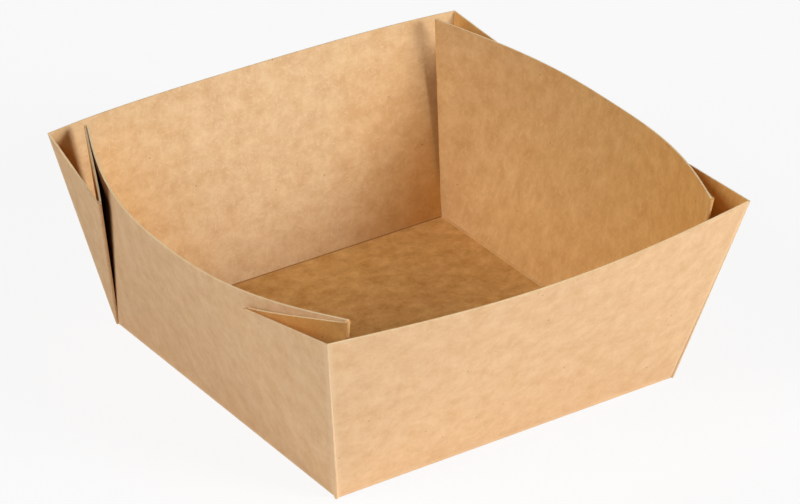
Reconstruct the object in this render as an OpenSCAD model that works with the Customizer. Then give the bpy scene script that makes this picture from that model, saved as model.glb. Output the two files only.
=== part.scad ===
// Takeaway tray folded from one sheet of kraft paperboard.
// The front and back walls are the wide outer ones. The left and right walls end just inside them, and at
// each corner a web of board joins the two walls: it is folded in half and laid outside the side wall.
// Folded board bends only along straight lines, so every wall and web is a fan of such lines that start
// at a base corner and run to the cut edge. The origin is the middle of the underside.

/* [Board] */
// Thickness of the paperboard
board = 0.5; // [0.3:0.05:0.7]

/* [Base] */
// Width of the base, between the left and right walls
base_w = 99.8; // [80:0.1:130]
// Depth of the base, between the front and back walls
base_d = 98; // [80:0.1:130]

/* [Front and back walls] */
// Height of the four outer corners
corner_h = 52.2; // [40:0.1:65]
// Distance that an outer corner leans out past the base, to the left or right
flare_w = 11.6; // [9:0.1:16]
// Distance that an outer corner leans out past the base, to the front or back
flare_d = 12.5; // [9:0.1:16]
// Distance that the middle of the rim bows out past the outer corners
outer_bow = 5; // [0:0.1:7]
// Distance that the middle of the rim dips below the outer corners
outer_dip = 1.1; // [0:0.1:3]

/* [Left and right walls] */
// Distance from an outer corner to the side wall's end, along the front or back rim
pocket_w = 8.7; // [6.5:0.1:10]
// Distance from an outer corner back to the side wall's end, along the side wall
pocket_d = 4.2; // [2:0.1:6]
// Height of the side wall's end above the outer corner
end_rise = 1.7; // [0:0.1:4]
// Distance that the middle of the side rim bows out past the wall's ends
side_bow = 13.6; // [9:0.1:16]
// Distance that the middle of the side rim dips below the wall's ends
side_dip = 3.2; // [0:0.1:5]

/* [Corner webs] */
// Length of the web's diagonal fold, from the base corner
fold_len = 52.5; // [44:0.1:53.5]
// Distance that the fold lies back from the side wall's end, along the side rim
fold_back = 27.8; // [20:0.1:34]
// Drop of the web's cut edge below the side wall's end
web_drop = 0.4; // [0.1:0.1:2]
// Clear gap between the two layers of board where it is folded back on itself
fold_gap = 0.15; // [0.1:0.05:0.6]
// Gap that the front left web springs open at its fold
front_left_gap = 0.5; // [0:0.1:6]
// Gap that the front right web springs open at its fold
front_right_gap = 2.8; // [0:0.1:6]
// Gap that the back right web springs open at its fold
back_right_gap = 0.5; // [0:0.1:6]
// Gap that the back left web springs open at its fold
back_left_gap = 2.1; // [0:0.1:6]

/* [Hidden] */
kraft = [0.80, 0.63, 0.45];

// Straight pieces along half a wall's rim, and along a web's cut edge
rim_steps = 28;
web_steps = 10;
// Sides of a fold's rounded edge, and the share of its full width that keeps it inside the faces it joins
fold_sides = 12;
fold_fill = 0.94;
// How slowly the side wall starts to curve in from its middle: 1 is a plain cosine
side_curve = 1.25;
// How long a sprung web lies against the side wall before it lifts off towards its fold: 1 is evenly
spring_hold = 3;
// Depth below the table that the base reaches before everything is trimmed flush
trim_depth = 3;

half_board = board / 2;
layer_step = board + fold_gap;
// Points of the board's middle layer, at the back right corner
apex = [base_w / 2 - half_board, base_d / 2 - half_board, half_board];
outer_top = apex + [flare_w, flare_d, corner_h - board];
side_top = outer_top + [-pocket_w, -pocket_d, end_rise];
fold_at = 1 - fold_back / side_top[1];

// Rims of the back and the right wall, from one end (s = -1) through the middle (s = 0) to the other (s = 1)
outer_rim = function (s) let (bulge = 1 - s * s)
    [-s * outer_top[0], outer_top[1] + outer_bow * bulge, outer_top[2] - outer_dip * bulge * bulge];
side_rim = function (s) let (bulge = cos(90 * pow(abs(s), side_curve)))
    [side_top[0] + side_bow * bulge, s * side_top[1], side_top[2] - side_dip * (1 - s * s)];

// The base corner below a place on a rim, or the middle of the base's edge below the middle of the rim
outer_foot = function (s) [-sign(s) * apex[0], apex[1], apex[2]];
side_foot = function (s) [apex[0], sign(s) * apex[1], apex[2]];

function unit(v) = v / norm(v);
function mix(a, b, t) = a + (b - a) * t;
function degrees_between(a, b) = acos(unit(a) * unit(b));

// Direction that a wall faces at place s along its rim
function facing(rim, foot, s) = let (step = 0.01)
    unit(cross(rim(s + step) - rim(s - step), rim(s) - foot(s)));
function side_facing(s) = facing(side_rim, side_foot, s);

// At the base corner the web's two layers are pressed together, half a board further out each
inner_apex = apex + half_board * side_facing(1);
outer_apex = apex + board * side_facing(1);

// Length of a straight cut across a web panel, on a line at angle turned of the panel's whole angle spread
function cut_length(first, last, turned, spread) =
    first * last * sin(spread) / (first * sin(turned) + last * sin(spread - turned));

// Inner panel's cut edge, from the side wall's end (u = 0) to the diagonal fold (u = 1)
function web_edge(u, gap) = let (
        s = 1 - u * (1 - fold_at),
        first = norm(side_top - apex) - web_drop,
        spread = degrees_between(side_top - apex, side_rim(fold_at) - apex),
        reach = cut_length(first, fold_len, u * spread, spread))
    apex + reach * unit(side_rim(s) - apex) + (layer_step + gap * pow(u, spring_hold)) * side_facing(s);

// A sheet of even thickness. Its points run clockwise round its outline, seen from the side that it faces
module sheet(points, facings, triangles) {
    count = len(points);
    outside = [for (i = [0 : count - 1]) points[i] + half_board * facings[i]];
    inside = [for (i = [0 : count - 1]) points[i] - half_board * facings[i]];
    turned_over = [for (t = triangles) [t[0] + count, t[2] + count, t[1] + count]];
    border = [for (i = [0 : count - 1]) let (j = (i + 1) % count)
        each [[j, i, count + i], [j, count + i, count + j]]];
    polyhedron(points = concat(outside, inside), faces = concat(triangles, turned_over, border));
}

// The rounded outer edge of a fold that joins two lines of board, each of them given by its two ends
module fold(first, second) {
    start = mix(first[0], second[0], 0.5);
    run = mix(first[1], second[1], 0.5) - start;
    translate(start)
        rotate([0, acos(run[2] / norm(run)), atan2(run[1], run[0])])
            cylinder(h = norm(run), d1 = fold_fill * (board + norm(second[0] - first[0])),
                     d2 = fold_fill * (board + norm(second[1] - first[1])), $fn = fold_sides);
}

// A wall: a fan from each base corner to its half of the rim, and one triangle between the two fans
module wall(rim, foot) {
    places = [for (i = [-rim_steps : rim_steps]) i / rim_steps];
    middle = rim_steps + 2;
    last = 2 * rim_steps + 2;
    sheet(
        points = concat([foot(1), foot(-1)], [for (s = places) rim(s)]),
        facings = concat([for (s = [1, -1]) unit(facing(rim, foot, 0) + facing(rim, foot, s))],
                         [for (s = places) facing(rim, foot, s)]),
        triangles = concat([for (i = [2 : middle - 1]) [1, i, i + 1]], [[0, 1, middle]],
                           [for (i = [middle : last - 1]) [0, i, i + 1]])
    );
    fold([foot(-1), foot(1)], [foot(-1), foot(1)]);
}

// The folded web at one corner: an inner panel beside the side wall, and an outer panel over it
module web(gap) {
    edge = [for (i = [web_steps : -1 : 0]) web_edge(i / web_steps, gap)];
    facings = [for (i = [web_steps : -1 : 0]) side_facing(1 - i / web_steps * (1 - fold_at))];
    inner_fold = [inner_apex, edge[0]];
    outer_fold = [outer_apex, edge[0] + layer_step * facings[0]];
    outer_facing = unit(cross(outer_top - outer_apex, outer_fold[1] - outer_apex));
    sheet(concat([inner_apex], edge), concat([side_facing(1)], facings),
          [for (i = [1 : web_steps]) [0, i, i + 1]]);
    sheet(concat(outer_fold, [outer_top]), [for (i = [0 : 2]) outer_facing], [[0, 1, 2]]);
    fold(inner_fold, outer_fold);
    fold([apex, side_top], [inner_apex, edge[web_steps]]);
    fold([apex, outer_top], [outer_apex, outer_top]);
}

module tray() {
    color(kraft) difference() {
        union() {
            translate([0, 0, -trim_depth])
                linear_extrude(trim_depth + board) square([2 * apex[0], 2 * apex[1]], center = true);
            for (turn = [0, 180]) rotate([0, 0, turn]) {
                wall(outer_rim, outer_foot);
                wall(side_rim, side_foot);
            }
            web(back_right_gap);
            mirror([1, 0, 0]) web(back_left_gap);
            mirror([0, 1, 0]) web(front_right_gap);
            mirror([1, 0, 0]) mirror([0, 1, 0]) web(front_left_gap);
        }
        translate([0, 0, -2 * trim_depth])
            linear_extrude(2 * trim_depth) square([2 * base_w, 2 * base_d], center = true);
    }
}

tray();
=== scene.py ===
"""Looks of a folded kraft paperboard tray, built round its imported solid.

The tray is one sheet of board. Its walls and corner webs are ruled sheets: straight lines that run from a
base corner to the cut edge. They are made with Geometry Nodes, thickened and joined into one mesh.
"""

from __future__ import annotations

import logging
import math
from dataclasses import dataclass, field
from enum import Enum
from typing import Callable, NamedTuple, Sequence

import bpy
from mathutils import Matrix, Vector

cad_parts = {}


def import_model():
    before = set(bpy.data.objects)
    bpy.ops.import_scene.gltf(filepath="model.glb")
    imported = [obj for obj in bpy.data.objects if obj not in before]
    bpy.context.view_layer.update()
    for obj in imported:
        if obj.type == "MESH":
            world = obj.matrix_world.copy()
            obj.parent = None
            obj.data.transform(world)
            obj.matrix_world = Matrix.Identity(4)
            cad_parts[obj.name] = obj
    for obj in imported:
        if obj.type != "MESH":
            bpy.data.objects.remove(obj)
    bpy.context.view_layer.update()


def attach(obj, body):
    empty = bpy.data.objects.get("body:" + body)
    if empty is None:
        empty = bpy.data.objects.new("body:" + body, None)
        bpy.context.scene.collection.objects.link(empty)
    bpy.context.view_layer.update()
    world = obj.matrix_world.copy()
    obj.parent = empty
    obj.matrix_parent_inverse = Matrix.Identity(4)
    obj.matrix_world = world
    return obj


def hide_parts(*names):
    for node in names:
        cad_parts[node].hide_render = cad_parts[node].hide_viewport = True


LOG = logging.getLogger("tray")
MM = 0.001
BODY = "root"
NODE = "tray"
PIECE = "folded_board"

# Attributes of the mesh that the finishes read
SHEET_MAP = "blank"
TO_FOLD = "to_fold"
MOTTLE = "mottle"
# Painted shade on a panel's inside: the darker, richer tint of bounce light where shade falls in the tray
PAINTED_SHADE = "depth"
# Painted shade on a panel's outside: the dark of the cavity behind a web that stands open
PAINTED_CAVITY_SHADE = "cover"

# Points of a ruled sheet that are closer than this are one, as where a fan of lines starts
WELD = 0.01 * MM
# How many steps of a seed make a metre on the flat sheet, along its two axes
SEEDS_PER_METRE = (20, 12)

Line = tuple[Vector, Vector]
Color = tuple[float, float, float]
Mesh = bpy.types.Mesh
Socket = bpy.types.NodeSocket


class Wall(Enum):
    """The four walls, by whether each is an outer one and whether it is the modelled one turned round."""

    BACK = (True, False)
    FRONT = (True, True)
    RIGHT = (False, False)
    LEFT = (False, True)

    @property
    def is_outer(self) -> bool:
        """Whether the wall is one of the two wide outer ones."""
        return self.value[0]

    @property
    def sign(self) -> int:
        """1 for the modelled wall, -1 for the one across the tray."""
        return -1 if self.value[1] else 1


class Corner(Enum):
    """The four corners, as the signs of their X and Y."""

    BACK_RIGHT = (1, 1)
    BACK_LEFT = (-1, 1)
    FRONT_RIGHT = (1, -1)
    FRONT_LEFT = (-1, -1)

    def place(self, point: Vector) -> Vector:
        """Moves a point of the back right corner to this corner."""
        return Vector((point.x * self.value[0], point.y * self.value[1], point.z))


class Side(Enum):
    """What a face shows, as its material slot: a surface of the board, its cut edge with a painted
    highlight, or a dark line of painted shade in a crease.
    """

    OUTSIDE = 0
    INSIDE = 1
    CUT = 2
    SCORE = 3


class Look(NamedTuple):
    """How a panel looks, for the finishes to read.

    Attributes:
        mottle: how lively the clouds in its pulp are, where 1 is as the finish says.
        depth: how much painted shade its inside takes, where 1 is fullest: the darker, richer tint of bounce
            light in shade.
        cover: how much painted shade its outside takes, where 1 is full: the dark of the cavity behind an
            open web.
    """

    mottle: float
    depth: float
    cover: float


def toward(azimuth: float, elevation: float) -> Vector:
    """Unit vector at an azimuth, in radians from the front and positive to the right, and an elevation."""
    level = math.cos(elevation)
    return Vector((math.sin(azimuth) * level, -math.cos(azimuth) * level, math.sin(elevation)))


def hold(value: float, low: float = 0.0, high: float = 1.0) -> float:
    """Holds a value between two others."""
    return min(max(value, low), high)


@dataclass(frozen=True)
class Blank:
    """Sizes of the folded sheet in metres, and the points and curves of its middle layer.

    The methods give the back wall, the right wall and the back right web. The others follow from them.

    Attributes:
        board: thickness of the paperboard.
        base_w: width of the base.
        base_d: depth of the base.
        corner_h: height of the four outer corners.
        flare_w: how far an outer corner leans out to the left or right.
        flare_d: how far it leans out to the front or back.
        outer_bow: how far an outer wall's rim bows out.
        outer_dip: how far it dips.
        pocket_w: distance from an outer corner to the side wall's end, along the outer rim.
        pocket_d: distance from an outer corner back to the side wall's end, along the side wall.
        end_rise: height of the side wall's end above the outer corner.
        side_bow: how far a side wall's rim bows out.
        side_dip: how far it dips.
        side_curve: how slowly it starts to curve from its middle, where 1 is a plain cosine.
        fold_len: length of a web's diagonal fold.
        fold_back: distance from the side wall's end to the fold, along the side rim.
        web_drop: drop of a web's cut edge below the side wall's end.
        fold_gap: clear gap between the layers of board where it is folded back.
        front_left_gap: gap that the front left web has sprung open at its fold.
        front_right_gap: the same, at the front right.
        back_right_gap: the same, at the back right.
        back_left_gap: the same, at the back left.
        spring_hold: how long a sprung web lies against the wall before it lifts off, where 1 is evenly.
    """

    board: float = 0.5 * MM
    base_w: float = 99.8 * MM
    base_d: float = 98.0 * MM
    corner_h: float = 52.2 * MM
    flare_w: float = 11.6 * MM
    flare_d: float = 12.5 * MM
    outer_bow: float = 5.0 * MM
    outer_dip: float = 1.1 * MM
    pocket_w: float = 8.7 * MM
    pocket_d: float = 4.2 * MM
    end_rise: float = 1.7 * MM
    side_bow: float = 13.6 * MM
    side_dip: float = 3.2 * MM
    side_curve: float = 1.25
    fold_len: float = 52.5 * MM
    fold_back: float = 27.8 * MM
    web_drop: float = 0.4 * MM
    fold_gap: float = 0.15 * MM
    front_left_gap: float = 0.5 * MM
    front_right_gap: float = 2.8 * MM
    back_right_gap: float = 0.5 * MM
    back_left_gap: float = 2.1 * MM
    spring_hold: float = 3.0

    @property
    def apex(self) -> Vector:
        """Base corner of the middle layer, at the back right."""
        half = self.board / 2
        return Vector((self.base_w / 2 - half, self.base_d / 2 - half, half))

    @property
    def outer_top(self) -> Vector:
        """Top of the corner crease."""
        return self.apex + Vector((self.flare_w, self.flare_d, self.corner_h - self.board))

    @property
    def side_top(self) -> Vector:
        """Top of the side wall's folded end."""
        return self.outer_top + Vector((-self.pocket_w, -self.pocket_d, self.end_rise))

    @property
    def fold_at(self) -> float:
        """Place on the side rim where the web's diagonal fold points."""
        return 1 - self.fold_back / self.side_top.y

    @property
    def layer_step(self) -> float:
        """Distance between the middle layers at the folded end of a side wall."""
        return self.board + self.fold_gap

    @property
    def inner_apex(self) -> Vector:
        """Base corner of the web's inner panel, pressed half a board outside the side wall."""
        return self.apex + self.side_facing(1.0) * (self.board / 2)

    @property
    def outer_apex(self) -> Vector:
        """Base corner of the web's outer panel, half a board further out."""
        return self.apex + self.side_facing(1.0) * self.board

    def gap(self, corner: Corner) -> float:
        """Gap that a corner's web has sprung open at its fold."""
        return getattr(self, corner.name.lower() + "_gap")

    def outer_rim(self, s: float) -> Vector:
        """Rim of the back wall.

        Args:
            s: place along it, from -1 at its right end to 1 at its left end.

        Returns:
            The point.
        """
        bulge = 1 - s * s
        top = self.outer_top
        return Vector((-s * top.x, top.y + self.outer_bow * bulge, top.z - self.outer_dip * bulge * bulge))

    def side_rim(self, s: float) -> Vector:
        """Rim of the right wall.

        Args:
            s: place along it, from -1 at its front end to 1 at its back end.

        Returns:
            The point.
        """
        bulge = math.cos(math.pi / 2 * abs(s) ** self.side_curve)
        top = self.side_top
        return Vector((top.x + self.side_bow * bulge, s * top.y, top.z - self.side_dip * (1 - s * s)))

    def side_facing(self, s: float) -> Vector:
        """Outward direction of the right wall at s.

        Args:
            s: place along the rim.

        Returns:
            A unit vector.
        """
        step = 0.01
        foot = Vector((self.apex.x, math.copysign(self.apex.y, s), self.apex.z))
        along = self.side_rim(s + step) - self.side_rim(s - step)
        return along.cross(self.side_rim(s) - foot).normalized()

    def web_edge(self, u: float, gap: float) -> Vector:
        """Cut edge of the web's inner panel. On the flat blank it would be nearly straight.

        Args:
            u: 0 at the side wall's end, 1 at the diagonal fold.
            gap: how far the fold has sprung open.

        Returns:
            The point at the back right corner.
        """
        s = 1 - u * (1 - self.fold_at)
        end_line = self.side_top - self.apex
        fold_line = self.side_rim(self.fold_at) - self.apex
        spread = end_line.angle(fold_line)
        first = end_line.length - self.web_drop
        turned = u * spread
        reach = first * self.fold_len * math.sin(spread) / (
            first * math.sin(turned) + self.fold_len * math.sin(spread - turned))
        ray = (self.side_rim(s) - self.apex).normalized()
        lift = self.layer_step + gap * u ** self.spring_hold
        return self.apex + ray * reach + self.side_facing(s) * lift

    def corner_creases(self) -> list[Line]:
        """The creases up the four corners."""
        return [(corner.place(self.apex), corner.place(self.outer_top)) for corner in Corner]

    def base_creases(self) -> list[Line]:
        """The creases round the base.

        Returns:
            The left and the right one, then the front and the back one.
        """
        a = self.apex
        lines = [(Vector((x, -a.y, a.z)), Vector((x, a.y, a.z))) for x in (-a.x, a.x)]
        return lines + [(Vector((-a.x, y, a.z)), Vector((a.x, y, a.z))) for y in (-a.y, a.y)]


@dataclass(frozen=True)
class Wiring:
    """A node tree in the making, with short ways to add and link its nodes."""

    tree: bpy.types.NodeTree

    def add(self, kind: str, inputs: dict[str, object] | None = None,
            **settings: object) -> bpy.types.Node:
        """Adds a node.

        Args:
            kind: the node's type.
            inputs: what its inputs are fed, by name.
            **settings: its properties, by name.

        Returns:
            The node.
        """
        node = self.tree.nodes.new(kind)
        for name, value in settings.items():
            setattr(node, name, value)
        for name, value in (inputs or {}).items():
            self.feed(node.inputs[name], value)
        return node

    def feed(self, socket: Socket, value: object) -> None:
        """Links an input to an output, or sets its value.

        Args:
            socket: the input.
            value: an output, a number, a vector, or a colour without its alpha.
        """
        if isinstance(value, Socket):
            self.tree.links.new(value, socket)
        elif socket.type == "RGBA":
            socket.default_value = (*value, 1)
        else:
            socket.default_value = value

    def math(self, operation: str, *values: object, clamp: bool = False) -> Socket:
        """Adds a math node.

        Args:
            operation: what it does.
            *values: its inputs, in their order.
            clamp: whether the result is held between 0 and 1.

        Returns:
            Its result.
        """
        node = self.add("ShaderNodeMath", operation=operation, use_clamp=clamp)
        for socket, value in zip(node.inputs, values):
            self.feed(socket, value)
        return node.outputs[0]

    def vector(self, operation: str, *values: object) -> bpy.types.Node:
        """Adds a vector math node.

        Args:
            operation: what it does.
            *values: its inputs, in their order.

        Returns:
            The node.
        """
        node = self.add("ShaderNodeVectorMath", operation=operation)
        for socket, value in zip(node.inputs, values):
            self.feed(socket, value)
        return node

    def spread(self, value: object, low: object, high: object, top: float = 1.0,
               kind: str = "LINEAR") -> Socket:
        """Maps a value between two others to 0 .. top, and holds it there.

        Args:
            value: the value.
            low: what becomes 0.
            high: what becomes top.
            top: the highest result.
            kind: LINEAR or SMOOTHSTEP.

        Returns:
            The mapped value.
        """
        ends = {"Value": value, "From Min": low, "From Max": high, "To Max": top}
        node = self.add("ShaderNodeMapRange", ends, interpolation_type=kind)
        return node.outputs["Result"]

    def mix(self, factor: object, first: object, second: object, kind: str = "VECTOR",
            blend: str = "MIX") -> Socket:
        """Mixes two vectors or two colours.

        Args:
            factor: 0 for the first, 1 for the second.
            first: the first vector or colour.
            second: the second one.
            kind: VECTOR, or RGBA for colours.
            blend: how two colours are mixed.

        Returns:
            The mixture.
        """
        node = self.add("ShaderNodeMix", data_type=kind, blend_type=blend)
        ends = [socket for socket in node.inputs if socket.type == kind and socket.name in ("A", "B")]
        for socket, entry in zip((node.inputs["Factor"], *ends), (factor, first, second)):
            self.feed(socket, entry)
        return next(socket for socket in node.outputs if socket.type == kind)

    def stored(self, name: str) -> Socket:
        """Value of an attribute of the mesh, in a material."""
        return self.add("ShaderNodeAttribute", attribute_name=name).outputs["Fac"]


@dataclass(frozen=True)
class ShapeTree(Wiring):
    """A Geometry Nodes tree in the making."""

    @classmethod
    def begin(cls, name: str) -> "ShapeTree":
        """Starts an empty tree that takes geometry and gives it out.

        Args:
            name: the tree's name.

        Returns:
            The tree in the making.
        """
        tree = bpy.data.node_groups.new(name, "GeometryNodeTree")
        for way in ("INPUT", "OUTPUT"):
            tree.interface.new_socket("Geometry", in_out=way, socket_type="NodeSocketGeometry")
        tree.nodes.new("NodeGroupInput")
        return cls(tree)

    def ask(self, name: str, kind: str) -> Socket:
        """Adds a named input of a kind: Float, Int, Vector or Material. Gives its value inside the tree."""
        self.tree.interface.new_socket(name, in_out="INPUT", socket_type=f"NodeSocket{kind}")
        return self.given(name)

    def given(self, name: str) -> Socket:
        """Value of a named input inside the tree."""
        return self.tree.nodes["Group Input"].outputs[name]

    def chart(self, geometry: Socket, x: Socket, y: Socket, shift: Socket) -> Socket:
        """Stores the place of each face's corners on the flat blank, which the finishes read.

        Args:
            geometry: the mesh.
            x: the first coordinate on the blank.
            y: the second one.
            shift: what is added to both.

        Returns:
            The mesh with its map.
        """
        flat = self.add("ShaderNodeCombineXYZ", {"X": x, "Y": y}).outputs["Vector"]
        spot = self.vector("ADD", flat, shift).outputs["Vector"]
        values = {"Geometry": geometry, "Name": SHEET_MAP, "Value": spot}
        store = self.add("GeometryNodeStoreNamedAttribute", values, data_type="FLOAT2", domain="CORNER")
        return store.outputs["Geometry"]

    def finish(self, geometry: Socket, material: Socket) -> None:
        """Ends the tree in Realize Instances and Set Material.

        Args:
            geometry: what the tree has made.
            material: its material.
        """
        realize = self.add("GeometryNodeRealizeInstances", {"Geometry": geometry}).outputs["Geometry"]
        dress = self.add("GeometryNodeSetMaterial", {"Geometry": realize, "Material": material})
        self.add("NodeGroupOutput", {"Geometry": dress.outputs["Geometry"]})


def ruled_sheet_tree() -> bpy.types.GeometryNodeTree:
    """Tree that rules straight lines from a foot to the curve it is given.

    Returns:
        The tree. Its curve is the cut edge. The lines start at Foot Start along the first half of the curve
        and at Foot End along the second, with a flat triangle between the two fans.
    """
    net = ShapeTree.begin("ruled_sheet")
    foot_start, foot_end = net.ask("Foot Start", "Vector"), net.ask("Foot End", "Vector")
    flat_share = net.ask("Flat Share", "Float")
    columns, rows = net.ask("Columns", "Int"), net.ask("Rows", "Int")
    crowding = net.ask("Row Crowding", "Float")
    grain, cross = net.ask("Grain Axis", "Vector"), net.ask("Cross Axis", "Vector")
    shift = net.ask("Blank Shift", "Vector")
    material = net.ask("Material", "Material")

    grid = net.add("GeometryNodeMeshGrid", {"Vertices X": columns, "Vertices Y": rows})
    spot = net.add("GeometryNodeInputPosition").outputs[0]
    cell = net.add("ShaderNodeSeparateXYZ", {"Vector": spot}).outputs
    across = net.math("ADD", cell["X"], 0.5)
    down = net.math("POWER", net.math("SUBTRACT", 0.5, cell["Y"]), crowding)
    up = net.math("SUBTRACT", 1.0, down)

    low = net.math("MULTIPLY_ADD", flat_share, -0.5, 0.5)
    high = net.math("MULTIPLY_ADD", flat_share, 0.5, 0.5)
    along_rim = net.math("ADD", net.spread(across, 0.0, low, 0.5), net.spread(across, high, 1.0, 0.5))
    foot = net.mix(net.spread(across, low, high), foot_start, foot_end)
    curve = {"Curves": net.given("Geometry"), "Factor": along_rim}
    rim = net.add("GeometryNodeSampleCurve", curve, mode="FACTOR").outputs["Position"]
    ruled = {"Geometry": grid.outputs["Mesh"], "Position": net.mix(up, foot, rim)}
    place = net.add("GeometryNodeSetPosition", ruled).outputs["Geometry"]
    weld = net.add("GeometryNodeMergeByDistance", {"Geometry": place, "Distance": WELD})
    x, y = (net.vector("DOT_PRODUCT", spot, axis).outputs["Value"] for axis in (grain, cross))
    net.finish(net.chart(weld.outputs["Geometry"], x, y, shift), material)
    return net.tree


def rounded_fold_tree() -> bpy.types.GeometryNodeTree:
    """Tree that sweeps a round section along the line it is given, from one radius to another.

    Returns:
        The tree.
    """
    net = ShapeTree.begin("rounded_fold")
    start_radius, end_radius = net.ask("Start Radius", "Float"), net.ask("End Radius", "Float")
    sides, shift = net.ask("Sides", "Int"), net.ask("Blank Shift", "Vector")
    material = net.ask("Material", "Material")

    along = net.add("GeometryNodeSplineParameter").outputs["Factor"]
    growth = net.math("SUBTRACT", end_radius, start_radius)
    radius = net.math("MULTIPLY_ADD", along, growth, start_radius)
    widen = net.add("GeometryNodeSetCurveRadius", {"Curve": net.given("Geometry"), "Radius": radius})
    section = net.add("GeometryNodeCurvePrimitiveCircle", {"Resolution": sides, "Radius": 1.0})
    sweep = net.add("GeometryNodeCurveToMesh", {
        "Curve": widen.outputs["Curve"], "Profile Curve": section.outputs["Curve"], "Scale": radius,
        "Fill Caps": True})

    spot = net.add("GeometryNodeInputPosition").outputs[0]
    part = net.add("ShaderNodeSeparateXYZ", {"Vector": spot}).outputs
    x = net.math("ADD", part["X"], part["Z"])
    y = net.math("SUBTRACT", part["Y"], part["Z"])
    net.finish(net.chart(sweep.outputs["Mesh"], x, y, shift), material)
    return net.tree


def linked(name: str, data: bpy.types.ID) -> bpy.types.Object:
    """Makes an object of some data and links it to the scene.

    Args:
        name: name of the object.
        data: its mesh, curve, lamp or camera.

    Returns:
        The object.
    """
    made = bpy.data.objects.new(name, data)
    bpy.context.scene.collection.objects.link(made)
    return made


def grow(tree: bpy.types.GeometryNodeTree, path: Sequence[Vector], inputs: dict[str, object],
         name: str) -> Mesh:
    """Runs a tree on an open path and returns the plain mesh that it makes.

    Args:
        tree: the Geometry Nodes tree.
        path: points of the curve that the tree is given.
        inputs: values of the tree's inputs, by name.
        name: name of the mesh.

    Returns:
        A mesh with no modifier and no link to the tree.
    """
    curve = bpy.data.curves.new(name, "CURVE")
    curve.dimensions = "3D"
    spline = curve.splines.new("POLY")
    spline.points.add(len(path) - 1)
    for point, place in zip(spline.points, path):
        point.co = (*place, 1.0)
    carrier = linked(name, curve)
    modifier = carrier.modifiers.new("tree", "NODES")
    modifier.node_group = tree
    sockets = {item.name: item.identifier for item in tree.interface.items_tree
               if item.item_type == "SOCKET" and item.in_out == "INPUT"}
    for key, value in inputs.items():
        modifier[sockets[key]] = value
    bpy.context.view_layer.update()
    depsgraph = bpy.context.evaluated_depsgraph_get()
    made = bpy.data.meshes.new_from_object(carrier.evaluated_get(depsgraph), preserve_all_data_layers=True,
                                           depsgraph=depsgraph)
    made.name = name
    bpy.data.objects.remove(carrier)
    bpy.data.curves.remove(curve)
    return made


@dataclass(frozen=True)
class Noise:
    """A noise on the flat sheet, drawn out along its grain.

    Attributes:
        size_mm: size of its largest features, in millimetres.
        grain: how much longer they are along the grain than across it.
        seed: place in the noise.
        detail: number of finer octaves.
        roughness: how strong the finer octaves are.
        turn: angle of its grain to the sheet's own, in degrees.
        band: values between which it comes in, where it is laid over a colour.
    """

    size_mm: float
    grain: float
    seed: float
    detail: float = 1.0
    roughness: float = 0.72
    turn: float = 0.0
    band: tuple[float, float] = (0.0, 1.0)

    def on(self, net: Wiring, flat: Socket) -> Socket:
        """Adds the noise to a material.

        Args:
            net: the material's nodes.
            flat: the place on the flat sheet.

        Returns:
            The noise, from 0 to 1.
        """
        along, across = (self.seed / steps for steps in SEEDS_PER_METRE)
        place = net.add("ShaderNodeMapping", {
            "Vector": flat, "Location": (along, across, 0), "Rotation": (0, 0, math.radians(self.turn)),
            "Scale": (self.size_mm * self.grain * MM, self.size_mm * MM, 1)}, vector_type="TEXTURE")
        node = net.add("ShaderNodeTexNoise", {
            "Vector": place.outputs["Vector"], "Scale": 1.0, "Detail": self.detail,
            "Roughness": self.roughness}, noise_dimensions="2D")
        return node.outputs["Fac"]


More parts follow.
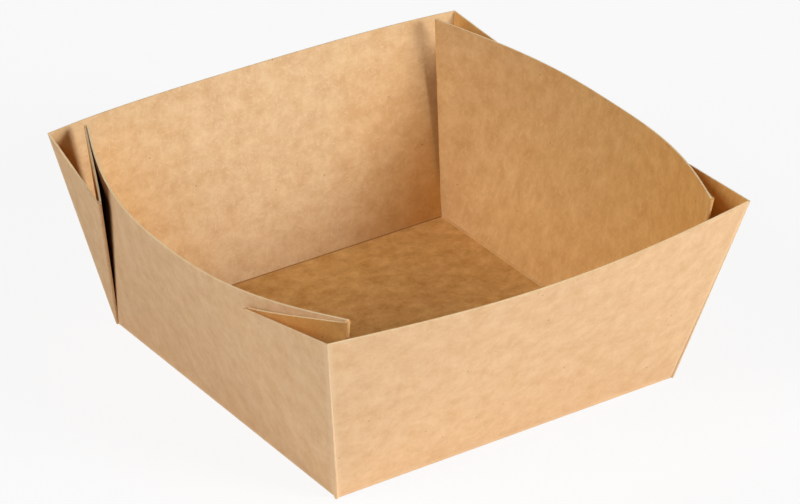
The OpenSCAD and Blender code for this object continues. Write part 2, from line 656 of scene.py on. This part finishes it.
@dataclass(frozen=True)
class Paper:
    """Finish of one surface of the kraft board.

    Attributes:
        name: name of the material.
        tone: colour of the pulp, linear.
        pale: colour of bleached fibres and rubbed folds, linear.
        dark: colour of bark specks, linear.
        blush: what the colour is multiplied by in the warmer clouds.
        deep: painted shade: what the colour is multiplied by where a panel takes the most painted shade.
        shaded_by: name of the attribute that says how much painted shade a panel takes.
        mottle: how far the clouds in the pulp depart from its tone, as a share.
        drift: how much of that step red, green and blue take: dark clouds are redder, pale ones yellower.
        fibres: how far the pale fibres show, 0 to 1.
        specks: how far the bark specks show, 0 to 1.
        wear: how far a rubbed fold shows, 0 to 1.
        wear_mm: distances from a fold where the rub starts and where it is full, in millimetres.
        roughness: how matte the surface is.
        gloss: strength of its reflections, where 0.5 is a plain plastic's.
        tooth: height of the fibres for the bump, in metres.
        bump: strength of the bump.
        clouds: the clouds in the pulp.
        grit: the fine grain that only the bump shows.
        strands: the pale fibres, in one layer for each way that they lie.
        bark: the bark specks.
        warmth: the warmer clouds.
    """

    name: str
    tone: Color
    pale: Color
    dark: Color = (0.22, 0.12, 0.06)
    blush: Color = (1.0, 0.995, 0.975)
    deep: Color = (1.0, 1.0, 1.0)
    shaded_by: str = PAINTED_SHADE
    mottle: float = 0.3
    drift: Color = (0.6, 1.05, 1.5)
    fibres: float = 0.16
    specks: float = 0.45
    wear: float = 0.6
    wear_mm: tuple[float, float] = (1.8, 0.1)
    roughness: float = 0.75
    gloss: float = 0.3
    tooth: float = 0.03 * MM
    bump: float = 0.5
    clouds: Noise = Noise(4.5, grain=1.25, seed=3.1, detail=4.0)
    grit: Noise = Noise(0.6, grain=1.3, seed=7.7)
    strands: tuple[Noise, ...] = tuple(
        Noise(0.6, grain=5.0, seed=seed, turn=turn, band=(0.64, 0.76))
        for seed, turn in ((12.3, 14.0), (21.9, -38.0), (27.1, 76.0)))
    bark: Noise = Noise(1.5, grain=1.0, seed=33.7, detail=0.0, band=(0.95, 0.965))
    warmth: Noise = Noise(9.0, grain=1.2, seed=41.3, band=(0.35, 0.65))

    def material(self) -> bpy.types.Material:
        """Builds the material.

        Returns:
            A node material that reads the sheet's own flat map, so that its grain follows the board.
        """
        made = bpy.data.materials.new(self.name)
        made.use_nodes = True
        net = Wiring(made.node_tree)
        shader = net.tree.nodes["Principled BSDF"]
        shader.inputs["Roughness"].default_value = self.roughness
        shader.inputs["Specular IOR Level"].default_value = self.gloss
        flat = net.add("ShaderNodeUVMap", uv_map=SHEET_MAP).outputs["UV"]
        cloud, grit = self.clouds.on(net, flat), self.grit.on(net, flat)

        color = self.pulp(net, cloud)
        for strand in self.strands:
            color = self.lay(net, flat, strand, self.fibres, color, self.pale)
        color = self.lay(net, flat, self.bark, self.specks, color, self.dark)
        warmer = net.spread(self.warmth.on(net, flat), *self.warmth.band)
        color = net.mix(warmer, color, self.blush, kind="RGBA", blend="MULTIPLY")
        # Painted shade: the colour is multiplied by the darker deep tint as far as the panel's painted-shade
        # attribute says
        color = net.mix(net.stored(self.shaded_by), color, self.deep, kind="RGBA", blend="MULTIPLY")
        rubbed = net.spread(net.stored(TO_FOLD), *(reach * MM for reach in self.wear_mm), kind="SMOOTHSTEP")
        color = net.mix(net.math("MULTIPLY", rubbed, self.wear), color, self.pale, kind="RGBA")
        net.feed(shader.inputs["Base Color"], color)

        height = net.math("ADD", grit, cloud)
        bump = net.add("ShaderNodeBump", {
            "Strength": self.bump, "Distance": self.tooth, "Height": height})
        net.feed(shader.inputs["Normal"], bump.outputs["Normal"])
        return made

    def pulp(self, net: Wiring, cloud: Socket) -> Socket:
        """Colour of the pulp with its clouds.

        Args:
            net: the material's nodes.
            cloud: the clouds, from 0 to 1.

        Returns:
            The colour.
        """
        swing = net.math("MULTIPLY", net.math("SUBTRACT", cloud, 0.5), net.stored(MOTTLE))
        parts = list(zip(self.tone, self.drift))
        dark, light = (tuple(channel * (1 + way * self.mottle * step) for channel, step in parts)
                       for way in (-1, 1))
        return net.mix(net.math("ADD", swing, 0.5, clamp=True), dark, light, kind="RGBA")

    def lay(self, net: Wiring, flat: Socket, noise: Noise, amount: float, under: Socket,
            over: Color) -> Socket:
        """Lays a colour over another where a noise rises through its band."""
        shown = net.spread(noise.on(net, flat), *noise.band, top=amount, kind="SMOOTHSTEP")
        return net.mix(shown, under, over, kind="RGBA")


@dataclass
class TraySheet:
    """The folded sheet of board: base, walls, corner webs and the rounded edges of its folds.

    Attributes:
        blank: the sizes.
        lined: finish of the inside.
        plain: finish of the outside.
        cut: finish of the cut edge, painted paler than the board as a highlight along the rims.
        score: finish of the thin dark line at the foot of an outer wall, painted shade in the crease's
            valley.
        columns: straight lines in a wall.
        rows: points on each line.
        crowding: how far they crowd toward the rim, where 1 is evenly.
        wall_flat_share: share of a wall's lines in its flat triangle.
        web_columns: straight lines in a web's panel.
        base_cell: size of the base's cells.
        rim_points: points of a rim curve.
        fold_sides: sides of a fold's round section.
        fold_steps: pieces along a fold.
        fold_fill: share of its full width that keeps a fold inside the faces that it joins.
        bead_radius: radius of the raised bead at the foot of a side wall.
        shade_line_radius: radius of that dark line of painted shade.
        score_inset: how far both lie inside the crease, as a share of the board.
        score_lift: how far both lie above the base's middle layer, as a share of the board.
        sprung_gap: gap from which a web stands open.
        cavity_shade_reach: distance past a web's fold over which the painted shade on the wall behind it
            grows to full.
        sharp_angle: angle from which an edge is sharp, in degrees.
        base_look: look of the base.
        side_look: look of a side wall, and of the folds.
        outer_look: look of an outer wall.
        web_look: look of a web's panel.
        cavity_shaded_web_look: look of the inner panel of a web that stands open, whose outside takes the
            painted cavity shade.
        corner_shade_span: where the painted shade on an outer wall's lining starts, as a share of the way to
            its end,
        and the height above which there is none, as a share of the corner's.
        side_shade_ends: painted shade on a side wall's lining at its front and at its back end.
        wall_shift: place of a wall's pattern on the blank.
        outer_shift: how much further along an outer wall's pattern lies.
        web_shifts: places of a web's patterns along the blank, for its inner and its outer panel.
        web_shift_across: their place across it.
        fold_shift: place of a fold's pattern on the blank.
        finishes: the materials, in the order of Side.
        sheet_tree: the tree that makes the ruled sheets.
        fold_tree: the tree that makes the rounded folds.
    """

    blank: Blank
    lined: Paper
    plain: Paper
    cut: Paper
    score: Paper
    columns: int = 97
    rows: int = 26
    crowding: float = 1.8
    wall_flat_share: float = 0.16
    web_columns: int = 25
    base_cell: float = 1.4 * MM
    rim_points: int = 121
    fold_sides: int = 16
    fold_steps: int = 12
    fold_fill: float = 0.97
    bead_radius: float = 0.42 * MM
    shade_line_radius: float = 0.27 * MM
    score_inset: float = 0.35
    score_lift: float = 0.3
    sprung_gap: float = 1.0 * MM
    cavity_shade_reach: float = 0.8 * MM
    sharp_angle: float = 32.0
    # The second number of each look is painted shade on the inside, the third painted cavity shade on the
    # outside
    base_look: Look = Look(1.9, 0.9, 0.0)
    side_look: Look = Look(1.0, 0.75, 0.0)
    outer_look: Look = Look(1.0, 0.0, 0.0)
    web_look: Look = Look(1.0, 1.0, 0.0)
    cavity_shaded_web_look: Look = Look(1.0, 1.0, 1.0)
    corner_shade_span: tuple[float, float] = (0.35, 1.1)
    side_shade_ends: tuple[float, float] = (1.05, 0.45)
    wall_shift: tuple[float, float] = (0.31, 0.17)
    outer_shift: float = 0.5
    web_shifts: tuple[float, float] = (0.9, 1.4)
    web_shift_across: float = 0.2
    fold_shift: tuple[float, float, float] = (2.3, 0.4, 0.0)
    finishes: list[bpy.types.Material] = field(init=False)
    sheet_tree: bpy.types.GeometryNodeTree = field(init=False)
    fold_tree: bpy.types.GeometryNodeTree = field(init=False)

    def build(self) -> bpy.types.Object:
        """Makes the sheet as one mesh object.

        Returns:
            The object, at the world's origin, with its finishes in its slots.
        """
        self.finishes = [paper.material() for paper in (self.plain, self.lined, self.cut, self.score)]
        self.sheet_tree = ruled_sheet_tree()
        self.fold_tree = rounded_fold_tree()
        meshes = [self.base()]
        meshes += [self.wall(wall) for wall in Wall]
        for corner in Corner:
            meshes += self.web(corner)
        meshes += self.base_folds()
        sheet = self.join(meshes)
        self.measure_folds(sheet.data)
        return sheet

    def rim(self, curve: Callable[[float], Vector], first: float, last: float) -> list[Vector]:
        """Points of a rim curve from one place to another."""
        steps = self.rim_points - 1
        return [curve(first + (last - first) * i / steps) for i in range(self.rim_points)]

    def dress(self, mesh: Mesh) -> None:
        """Gives a mesh the finishes, in the order of Side.

        Args:
            mesh: the mesh, whose own material goes.
        """
        mesh.materials.clear()
        for finish in self.finishes:
            mesh.materials.append(finish)

    def stain(self, mesh: Mesh, look: Look) -> None:
        """Stores how a mesh looks, for the finishes to read.

        Args:
            mesh: a panel or a fold.
            look: how it looks all over.
        """
        for name, value in zip((MOTTLE, PAINTED_SHADE, PAINTED_CAVITY_SHADE), look):
            shares = mesh.attributes.new(name, "FLOAT", "POINT").data
            shares.foreach_set("value", [value] * len(mesh.vertices))

    def ruled(self, name: str, path: Sequence[Vector], feet: Line, columns: int, flat_share: float,
              axes: Line, shift: Vector, look: Look) -> Mesh:
        """A ruled sheet with the thickness of the board.

        Args:
            name: name of the sheet.
            path: the cut edge.
            feet: where the straight lines start, along the first and the second half of the cut edge.
            columns: number of straight lines.
            flat_share: share of them that spans the flat triangle between the two fans.
            axes: directions of the grain and across it.
            shift: place of this panel's pattern on the blank.
            look: how the panel looks.

        Returns:
            A closed mesh.
        """
        mesh = grow(self.sheet_tree, path, {
            "Foot Start": tuple(feet[0]), "Foot End": tuple(feet[1]), "Flat Share": flat_share,
            "Columns": columns, "Rows": self.rows, "Row Crowding": self.crowding,
            "Grain Axis": tuple(axes[0]), "Cross Axis": tuple(axes[1]), "Blank Shift": tuple(shift),
            "Material": self.finishes[Side.OUTSIDE.value],
        }, name)
        return self.thicken(mesh, look)

    def thicken(self, mesh: Mesh, look: Look) -> Mesh:
        """Gives an open sheet the thickness of the board and the finishes of its sides and its cut edge.

        Args:
            mesh: the open sheet, which is used up.
            look: how it looks.

        Returns:
            A closed mesh.
        """
        self.stain(mesh, look)
        self.dress(mesh)
        holder = linked(mesh.name, mesh)
        solid = holder.modifiers.new("board", "SOLIDIFY")
        solid.thickness = self.blank.board
        solid.offset = 0.0
        solid.use_even_offset = True
        solid.material_offset = Side.INSIDE.value
        # The cut edge takes a finish painted paler as a highlight along the rims
        solid.material_offset_rim = Side.CUT.value
        depsgraph = bpy.context.evaluated_depsgraph_get()
        thick = bpy.data.meshes.new_from_object(holder.evaluated_get(depsgraph), depsgraph=depsgraph)
        bpy.data.objects.remove(holder)
        bpy.data.meshes.remove(mesh)
        return thick

    def base(self) -> Mesh:
        """The flat base, as a fine grid with the thickness of the board.

        Returns:
            A closed mesh.
        """
        a = self.blank.apex
        mesh = bpy.data.meshes.new("base")
        across, deep = (round(2 * reach / self.base_cell) for reach in (a.x, a.y))
        points = [(-a.x + 2 * a.x * i / across, -a.y + 2 * a.y * j / deep, a.z)
                  for j in range(deep + 1) for i in range(across + 1)]
        row = across + 1
        faces = [(j * row + i, (j + 1) * row + i, (j + 1) * row + i + 1, j * row + i + 1)
                 for j in range(deep) for i in range(across)]
        mesh.from_pydata(points, [], faces)
        flat = mesh.uv_layers.new(name=SHEET_MAP)
        for loop in mesh.loops:
            flat.data[loop.index].uv = mesh.vertices[loop.vertex_index].co.xy
        return self.thicken(mesh, self.base_look)

    def wall(self, wall: Wall) -> Mesh:
        """One wall, modelled at the back or at the right and turned round for the one across the tray.

        Args:
            wall: which wall.

        Returns:
            A closed mesh.
        """
        blank, a = self.blank, self.blank.apex
        turn = Matrix.Rotation(math.pi if wall.sign < 0 else 0.0, 3, "Z")
        along, across = self.wall_shift
        shift = Vector((along * (1 + wall.sign), across * wall.sign, 0))
        if wall.is_outer:
            rim, look = blank.outer_rim, self.outer_look
            feet = (Vector((a.x, a.y, a.z)), Vector((-a.x, a.y, a.z)))
            rise = (rim(0) - Vector((0, a.y, a.z))).normalized()
            axes = (Vector((1, 0, 0)), turn @ rise)
            shift += Vector((self.outer_shift, 0, 0))
        else:
            rim, look = blank.side_rim, self.side_look
            feet = (Vector((a.x, -a.y, a.z)), Vector((a.x, a.y, a.z)))
            rise = (rim(0) - Vector((a.x, 0, a.z))).normalized()
            axes = (turn @ rise, Vector((0, 1, 0)))
        path = [turn @ point for point in self.rim(rim, -1, 1)]
        feet = (turn @ feet[0], turn @ feet[1])
        mesh = self.ruled(f"{wall.name.lower()}_wall", path, feet, self.columns, self.wall_flat_share, axes,
                          shift, look)
        if wall.is_outer:
            self.paint_corner_shade(mesh)
        else:
            self.paint_side_shade(mesh)
            self.cover(mesh)
        return mesh

    def paint_corner_shade(self, mesh: Mesh) -> None:
        """Paints shade onto an outer wall's lining: darker and richer toward its two ends, low in the tray's
        corners.

        Args:
            mesh: the wall.
        """
        start, top = self.corner_shade_span
        shares = mesh.attributes[PAINTED_SHADE].data
        for vertex in mesh.vertices:
            out = (min(abs(vertex.co.x) / self.blank.apex.x, 1.0) - start) / (1 - start)
            low = top - vertex.co.z / self.blank.outer_top.z
            shares[vertex.index].value = min(max(out, 0.0) * max(low, 0.0), 1.0)

    def paint_side_shade(self, mesh: Mesh) -> None:
        """Paints shade onto a side wall's lining: darker and richer toward its front end.

        Args:
            mesh: the wall.
        """
        front, back = self.side_shade_ends
        shares = mesh.attributes[PAINTED_SHADE].data
        for vertex in mesh.vertices:
            along = hold(vertex.co.y / self.blank.apex.y, -1.0)
            shares[vertex.index].value = (front + back) / 2 + (back - front) / 2 * along

    def sprung(self, corner: Corner) -> bool:
        """Tells whether a corner's web stands open, so that one can look in behind it."""
        return self.blank.gap(corner) > self.sprung_gap

    def cover(self, mesh: Mesh) -> None:
        """Paints shade on a side wall's outside where it lies behind a web that stands open, past its fold.

        Args:
            mesh: the wall.
        """
        blank = self.blank
        end_line = blank.side_top - blank.apex
        to_fold = end_line.angle(blank.side_rim(blank.fold_at) - blank.apex)
        shares = mesh.attributes[PAINTED_CAVITY_SHADE].data
        for vertex in mesh.vertices:
            corner = Corner(tuple(int(math.copysign(1, value)) for value in vertex.co[:2]))
            spot = Vector([abs(value) for value in vertex.co]) - blank.apex
            if self.sprung(corner) and spot.length > blank.board and spot.y > -blank.fold_back:
                past = (to_fold - end_line.angle(spot)) * spot.length
                shares[vertex.index].value = hold(past / self.cavity_shade_reach)

    def web(self, corner: Corner) -> list[Mesh]:
        """The folded web at one corner, with its three rounded folds.

        Args:
            corner: which corner.

        Returns:
            The inner and the outer panel, and the folds.
        """
        blank, gap, steps = self.blank, self.blank.gap(corner), self.web_columns - 1
        edge = self.rim(lambda u: blank.web_edge(u, gap), 0, 1)
        fold_top = edge[-1] + blank.side_facing(blank.fold_at) * blank.layer_step
        outer_edge = [fold_top.lerp(blank.outer_top, i / steps) for i in range(steps + 1)]
        # The inner panel of an open web takes the painted cavity shade on its outside
        inner_look = self.cavity_shaded_web_look if self.sprung(corner) else self.web_look
        inner_shift, outer_shift = self.web_shifts
        meshes = [
            self.web_panel(corner, "inner", edge, blank.inner_apex, inner_shift, inner_look),
            self.web_panel(corner, "outer", outer_edge, blank.outer_apex, outer_shift, self.web_look),
        ]
        folds = (
            ((blank.inner_apex, edge[-1]), (blank.outer_apex, fold_top), Side.OUTSIDE),
            ((blank.apex, blank.side_top), (blank.inner_apex, edge[0]), Side.INSIDE),
            ((blank.apex, blank.outer_top), (blank.outer_apex, blank.outer_top), Side.OUTSIDE),
        )
        for first, second, side in folds:
            widths = [blank.board + (q - p).length for p, q in zip(first, second)]
            middle = tuple(corner.place((p + q) / 2) for p, q in zip(first, second))
            meshes.append(self.fold(middle, widths[0], widths[1], side))
        return meshes

    def web_panel(self, corner: Corner, part: str, edge: Sequence[Vector], foot: Vector, shift: float,
                  look: Look) -> Mesh:
        """One of the two panels of a folded web.

        Args:
            corner: the web's corner.
            part: inner or outer.
            edge: the panel's cut edge at the back right corner.
            foot: its base corner there.
            shift: place of its pattern along the blank.
            look: how it looks.

        Returns:
            A closed mesh.
        """
        x_sign, y_sign = corner.value
        path = [corner.place(point) for point in (edge if x_sign == y_sign else edge[::-1])]
        foot = corner.place(foot)
        along = (path[-1] - path[0]).normalized()
        up = (path[len(path) // 2] - foot).normalized()
        place = Vector((shift, self.web_shift_across * x_sign, 0))
        return self.ruled(f"{corner.name.lower()}_web_{part}", path, (foot, foot), self.web_columns, 0.0,
                          (up, along), place, look)

    def fold(self, line: Line, start_width: float, end_width: float, side: Side) -> Mesh:
        """The rounded edge of a fold.

        Args:
            line: its middle line.
            start_width: full width of the fold where the line starts.
            end_width: the same where it ends.
            side: what shows there.

        Returns:
            A closed mesh.
        """
        steps = self.fold_steps
        mesh = grow(self.fold_tree, [line[0].lerp(line[1], i / steps) for i in range(steps + 1)], {
            "Start Radius": self.fold_fill * start_width / 2, "End Radius": self.fold_fill * end_width / 2,
            "Sides": self.fold_sides, "Blank Shift": self.fold_shift,
            "Material": self.finishes[side.value],
        }, "fold")
        self.dress(mesh)
        for face in mesh.polygons:
            face.material_index = side.value
        self.stain(mesh, self.side_look)
        return mesh

    def base_folds(self) -> list[Mesh]:
        """The rounded outer edge of each crease round the base, and a line inside the tray along it.

        That line is a raised bead along the left and right walls. Along the other two it is a thin dark rod,
        whose colour is painted shade in the crease's valley.

        Returns:
            Their meshes.
        """
        board, folds = self.blank.board, []
        for start, end in self.blank.base_creases():
            folds.append(self.fold((start, end), board, board, Side.OUTSIDE))
            middle = (start + end) / 2
            inward = Vector((-middle.x, -middle.y, 0)).normalized() * (board * self.score_inset)
            lift = inward + Vector((0, 0, board * self.score_lift))
            # Along the outer walls the rod is dark: painted shade in the crease's valley
            if abs(middle.y) > abs(middle.x):
                width, side = 2 * self.shade_line_radius, Side.SCORE
            else:
                width, side = 2 * self.bead_radius, Side.INSIDE
            folds.append(self.fold((start + lift, end + lift), width, width, side))
        return folds

    def join(self, meshes: Sequence[Mesh]) -> bpy.types.Object:
        """Joins the panels and folds.

        Args:
            meshes: the panels and folds.

        Returns:
            One mesh object.
        """
        holders = [linked(mesh.name, mesh) for mesh in meshes]
        with bpy.context.temp_override(active_object=holders[0], selected_editable_objects=holders):
            bpy.ops.object.join()
        sheet = holders[0]
        sheet.name = sheet.data.name = PIECE
        sheet.data.shade_smooth()
        sheet.data.set_sharp_from_angle(angle=math.radians(self.sharp_angle))
        return sheet

    def measure_folds(self, mesh: Mesh) -> None:
        """Stores each vertex's distance to the nearest crease, for the worn lines of the finish.

        Args:
            mesh: the whole sheet.
        """
        creases = self.blank.corner_creases() + self.blank.base_creases()
        distance = mesh.attributes.new(TO_FOLD, "FLOAT", "POINT")
        for vertex in mesh.vertices:
            distance.data[vertex.index].value = min(self.away(vertex.co, line) for line in creases)

    @staticmethod
    def away(point: Vector, line: Line) -> float:
        """Distance from a point to a line between two ends.

        Args:
            point: the point.
            line: the two ends.

        Returns:
            The distance.
        """
        run = line[1] - line[0]
        share = hold((point - line[0]).dot(run) / run.length_squared)
        return (point - line[0] - run * share).length


@dataclass(frozen=True)
class Lamp:
    """A soft rectangular lamp that looks at the tray.

    Attributes:
        name: name of the lamp.
        azimuth: degrees round from the front, positive to the right.
        elevation: degrees above the table.
        distance: metres from the tray.
        width: metres across.
        height: metres up.
        level: light that it gives a surface facing it at the tray, where 1 shows a colour as written.
        aim: height of the place that it looks at, in metres.
    """

    name: str
    azimuth: float
    elevation: float
    distance: float
    width: float
    height: float
    level: float
    aim: float = 20 * MM

    def build(self) -> bpy.types.Object:
        """Makes the lamp.

        Returns:
            The lamp.
        """
        data = bpy.data.lights.new(self.name, "AREA")
        data.shape = "RECTANGLE"
        data.size, data.size_y = self.width, self.height
        data.energy = self.level * math.pi * math.pi * self.distance ** 2
        back = toward(math.radians(self.azimuth), math.radians(self.elevation))
        place = Matrix.Translation(Vector((0, 0, self.aim)) + back * self.distance)
        lamp = linked(self.name, data)
        lamp.matrix_world = place @ back.to_track_quat("Z", "Y").to_matrix().to_4x4()
        return lamp


@dataclass
class Studio:
    """Pale floor, soft lamps, dim surroundings and the camera at the photograph's angle.

    Attributes:
        lamps: the lamps.
        ambient: strength of the surroundings for light.
        floor_size: width of the floor in metres.
        floor_white: how white the floor is for light.
        floor_drop: distance that the floor lies below the tray's underside, in metres.
        shadow_share: how much of the tray's shadow the camera sees on the floor.
        azimuth: the camera's place round the tray from the front, in radians.
        elevation: its angle above the table, in radians.
        roll: its turn about its own axis, in radians.
        distance: its distance from the tray's origin, in metres.
        aside: how far the tray's origin lies to the right of the camera's axis, in metres.
        rise: how far it lies above that axis, in metres.
        focal_px: focal length in pixels of the photograph.
        frame_px: width of the photograph in pixels.
        sensor: width of the sensor in millimetres.
        clip: nearest and farthest thing that the camera sees, in metres.
    """

    lamps: tuple[Lamp, ...]
    ambient: float = 0.05
    floor_size: float = 8.0
    floor_white: float = 0.9
    floor_drop: float = 0.05 * MM
    shadow_share: float = 0.12
    azimuth: float = -0.6144
    elevation: float = 0.5148
    roll: float = 0.0142
    distance: float = 1144.4685 * MM
    aside: float = -1.8571 * MM
    rise: float = -24.4559 * MM
    focal_px: float = 4601.92
    frame_px: int = 800
    sensor: float = 36.0
    clip: tuple[float, float] = (0.05, 50.0)

    def build(self) -> None:
        """Makes the whole studio."""
        self.camera()
        self.floor()
        self.world()
        for lamp in self.lamps:
            lamp.build()
        bpy.context.scene.view_settings.view_transform = "Standard"

    def camera(self) -> None:
        """Places the camera."""
        back = toward(self.azimuth, self.elevation)
        right = Vector((0, 0, 1)).cross(back).normalized()
        up = back.cross(right)
        c, s = math.cos(self.roll), math.sin(self.roll)
        right, up = c * right + s * up, c * up - s * right
        turn = Matrix((right, up, back)).transposed()
        data = bpy.data.cameras.new("camera")
        data.sensor_width = self.sensor
        data.lens = self.focal_px / self.frame_px * self.sensor
        data.clip_start, data.clip_end = self.clip
        camera = linked("camera", data)
        place = turn @ Vector((-self.aside, -self.rise, self.distance))
        camera.matrix_world = Matrix.Translation(place) @ turn.to_4x4()
        bpy.context.scene.camera = camera

    def seen(self, net: Wiring) -> Socket:
        """Tells the camera's look at a surface, straight or through a gloss or a clear thing, from light.

        Args:
            net: the nodes of a material or of the world.

        Returns:
            1 for such a look, 0 for light.
        """
        path = net.add("ShaderNodeLightPath").outputs
        mirrored = net.math("MAXIMUM", path["Is Camera Ray"], path["Is Glossy Ray"])
        return net.math("MAXIMUM", mirrored, path["Is Transmission Ray"])

    def floor(self) -> None:
        """The floor: matte white for the lamps, nearly white for the camera, with the tray's soft shadow."""
        reach = self.floor_size / 2
        mesh = bpy.data.meshes.new("floor")
        corners = [(x * reach, y * reach, -self.floor_drop) for x, y in ((-1, -1), (1, -1), (1, 1), (-1, 1))]
        mesh.from_pydata(corners, [], [(0, 1, 2, 3)])
        paint = bpy.data.materials.new("floor_white")
        paint.use_nodes = True
        paint.node_tree.nodes.clear()
        net = Wiring(paint.node_tree)
        matte = net.add("ShaderNodeBsdfDiffuse", {"Color": (self.floor_white,) * 3})
        glow = net.add("ShaderNodeEmission")
        mix = net.add("ShaderNodeMixShader")
        net.feed(mix.inputs[0], net.math("MULTIPLY", self.seen(net), 1 - self.shadow_share))
        net.feed(mix.inputs[1], matte.outputs[0])
        net.feed(mix.inputs[2], glow.outputs[0])
        net.add("ShaderNodeOutputMaterial", {"Surface": mix.outputs[0]})
        mesh.materials.append(paint)
        linked("floor", mesh)

    def world(self) -> None:
        """The surroundings: dim, and fainter still for light."""
        world = bpy.data.worlds.new("studio")
        world.use_nodes = True
        bpy.context.scene.world = world
        net = Wiring(world.node_tree)
        levels = {"Value": self.seen(net), "To Min": self.ambient, "To Max": 1.0}
        strength = net.add("ShaderNodeMapRange", levels)
        net.feed(net.tree.nodes["Background"].inputs["Strength"], strength.outputs["Result"])


# The lined inside's deep tint is painted shade: the darker, richer colour of bounce light in the tray's
# shaded parts
LINED = Paper("kraft_lined", tone=(0.82, 0.56, 0.305), pale=(0.95, 0.72, 0.46), deep=(0.97, 0.78, 0.45),
              mottle=0.32, fibres=0.34, wear=0.1, roughness=0.55, gloss=0.2)
# The plain outside's near-black deep tint is painted shadow for the cavity behind an open web
PLAIN = Paper("kraft_plain", tone=(0.80, 0.52, 0.29), pale=(0.92, 0.68, 0.44), deep=(0.25, 0.14, 0.08),
              shaded_by=PAINTED_CAVITY_SHADE, mottle=0.24, wear=0.5, gloss=0.15)
# The cut edge is painted paler than the board, as a highlight along the rims
CUT = Paper("kraft_cut_highlight", tone=(0.98, 0.72, 0.42), pale=(0.96, 0.8, 0.6), mottle=0.2, wear=0.0,
            roughness=0.9, gloss=0.0)
# Painted shade: the dark line in the creases at the foot of the outer walls
SCORE = Paper("kraft_painted_crease_shade", tone=(0.5, 0.24, 0.08), pale=(0.7, 0.42, 0.2), wear=0.0, roughness=0.9,
              gloss=0.0)

LAMPS = (
    Lamp("key", azimuth=27, elevation=25, distance=1.6, width=0.7, height=0.4, level=0.68),
    Lamp("key_low", azimuth=30, elevation=12, distance=1.6, width=0.5, height=0.4, level=0.17),
    Lamp("fill_high", azimuth=-90, elevation=42, distance=1.6, width=0.6, height=0.5, level=0.35),
    Lamp("fill_side", azimuth=-88, elevation=25, distance=1.6, width=0.6, height=0.4, level=0.18),
    Lamp("fill_back", azimuth=165, elevation=12, distance=1.6, width=0.8, height=0.3, level=0.25),
)


def main() -> None:
    """Builds the studio and the tray in order."""
    logging.basicConfig(level=logging.INFO, format="%(name)s: %(message)s")
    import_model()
    Studio(LAMPS).build()
    LOG.info("studio is set")
    sheet = TraySheet(Blank(), LINED, PLAIN, CUT, SCORE).build()
    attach(sheet, BODY)
    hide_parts(NODE)
    LOG.info("%s: %d faces", sheet.name, len(sheet.data.polygons))


if __name__ == "__main__":
    main()
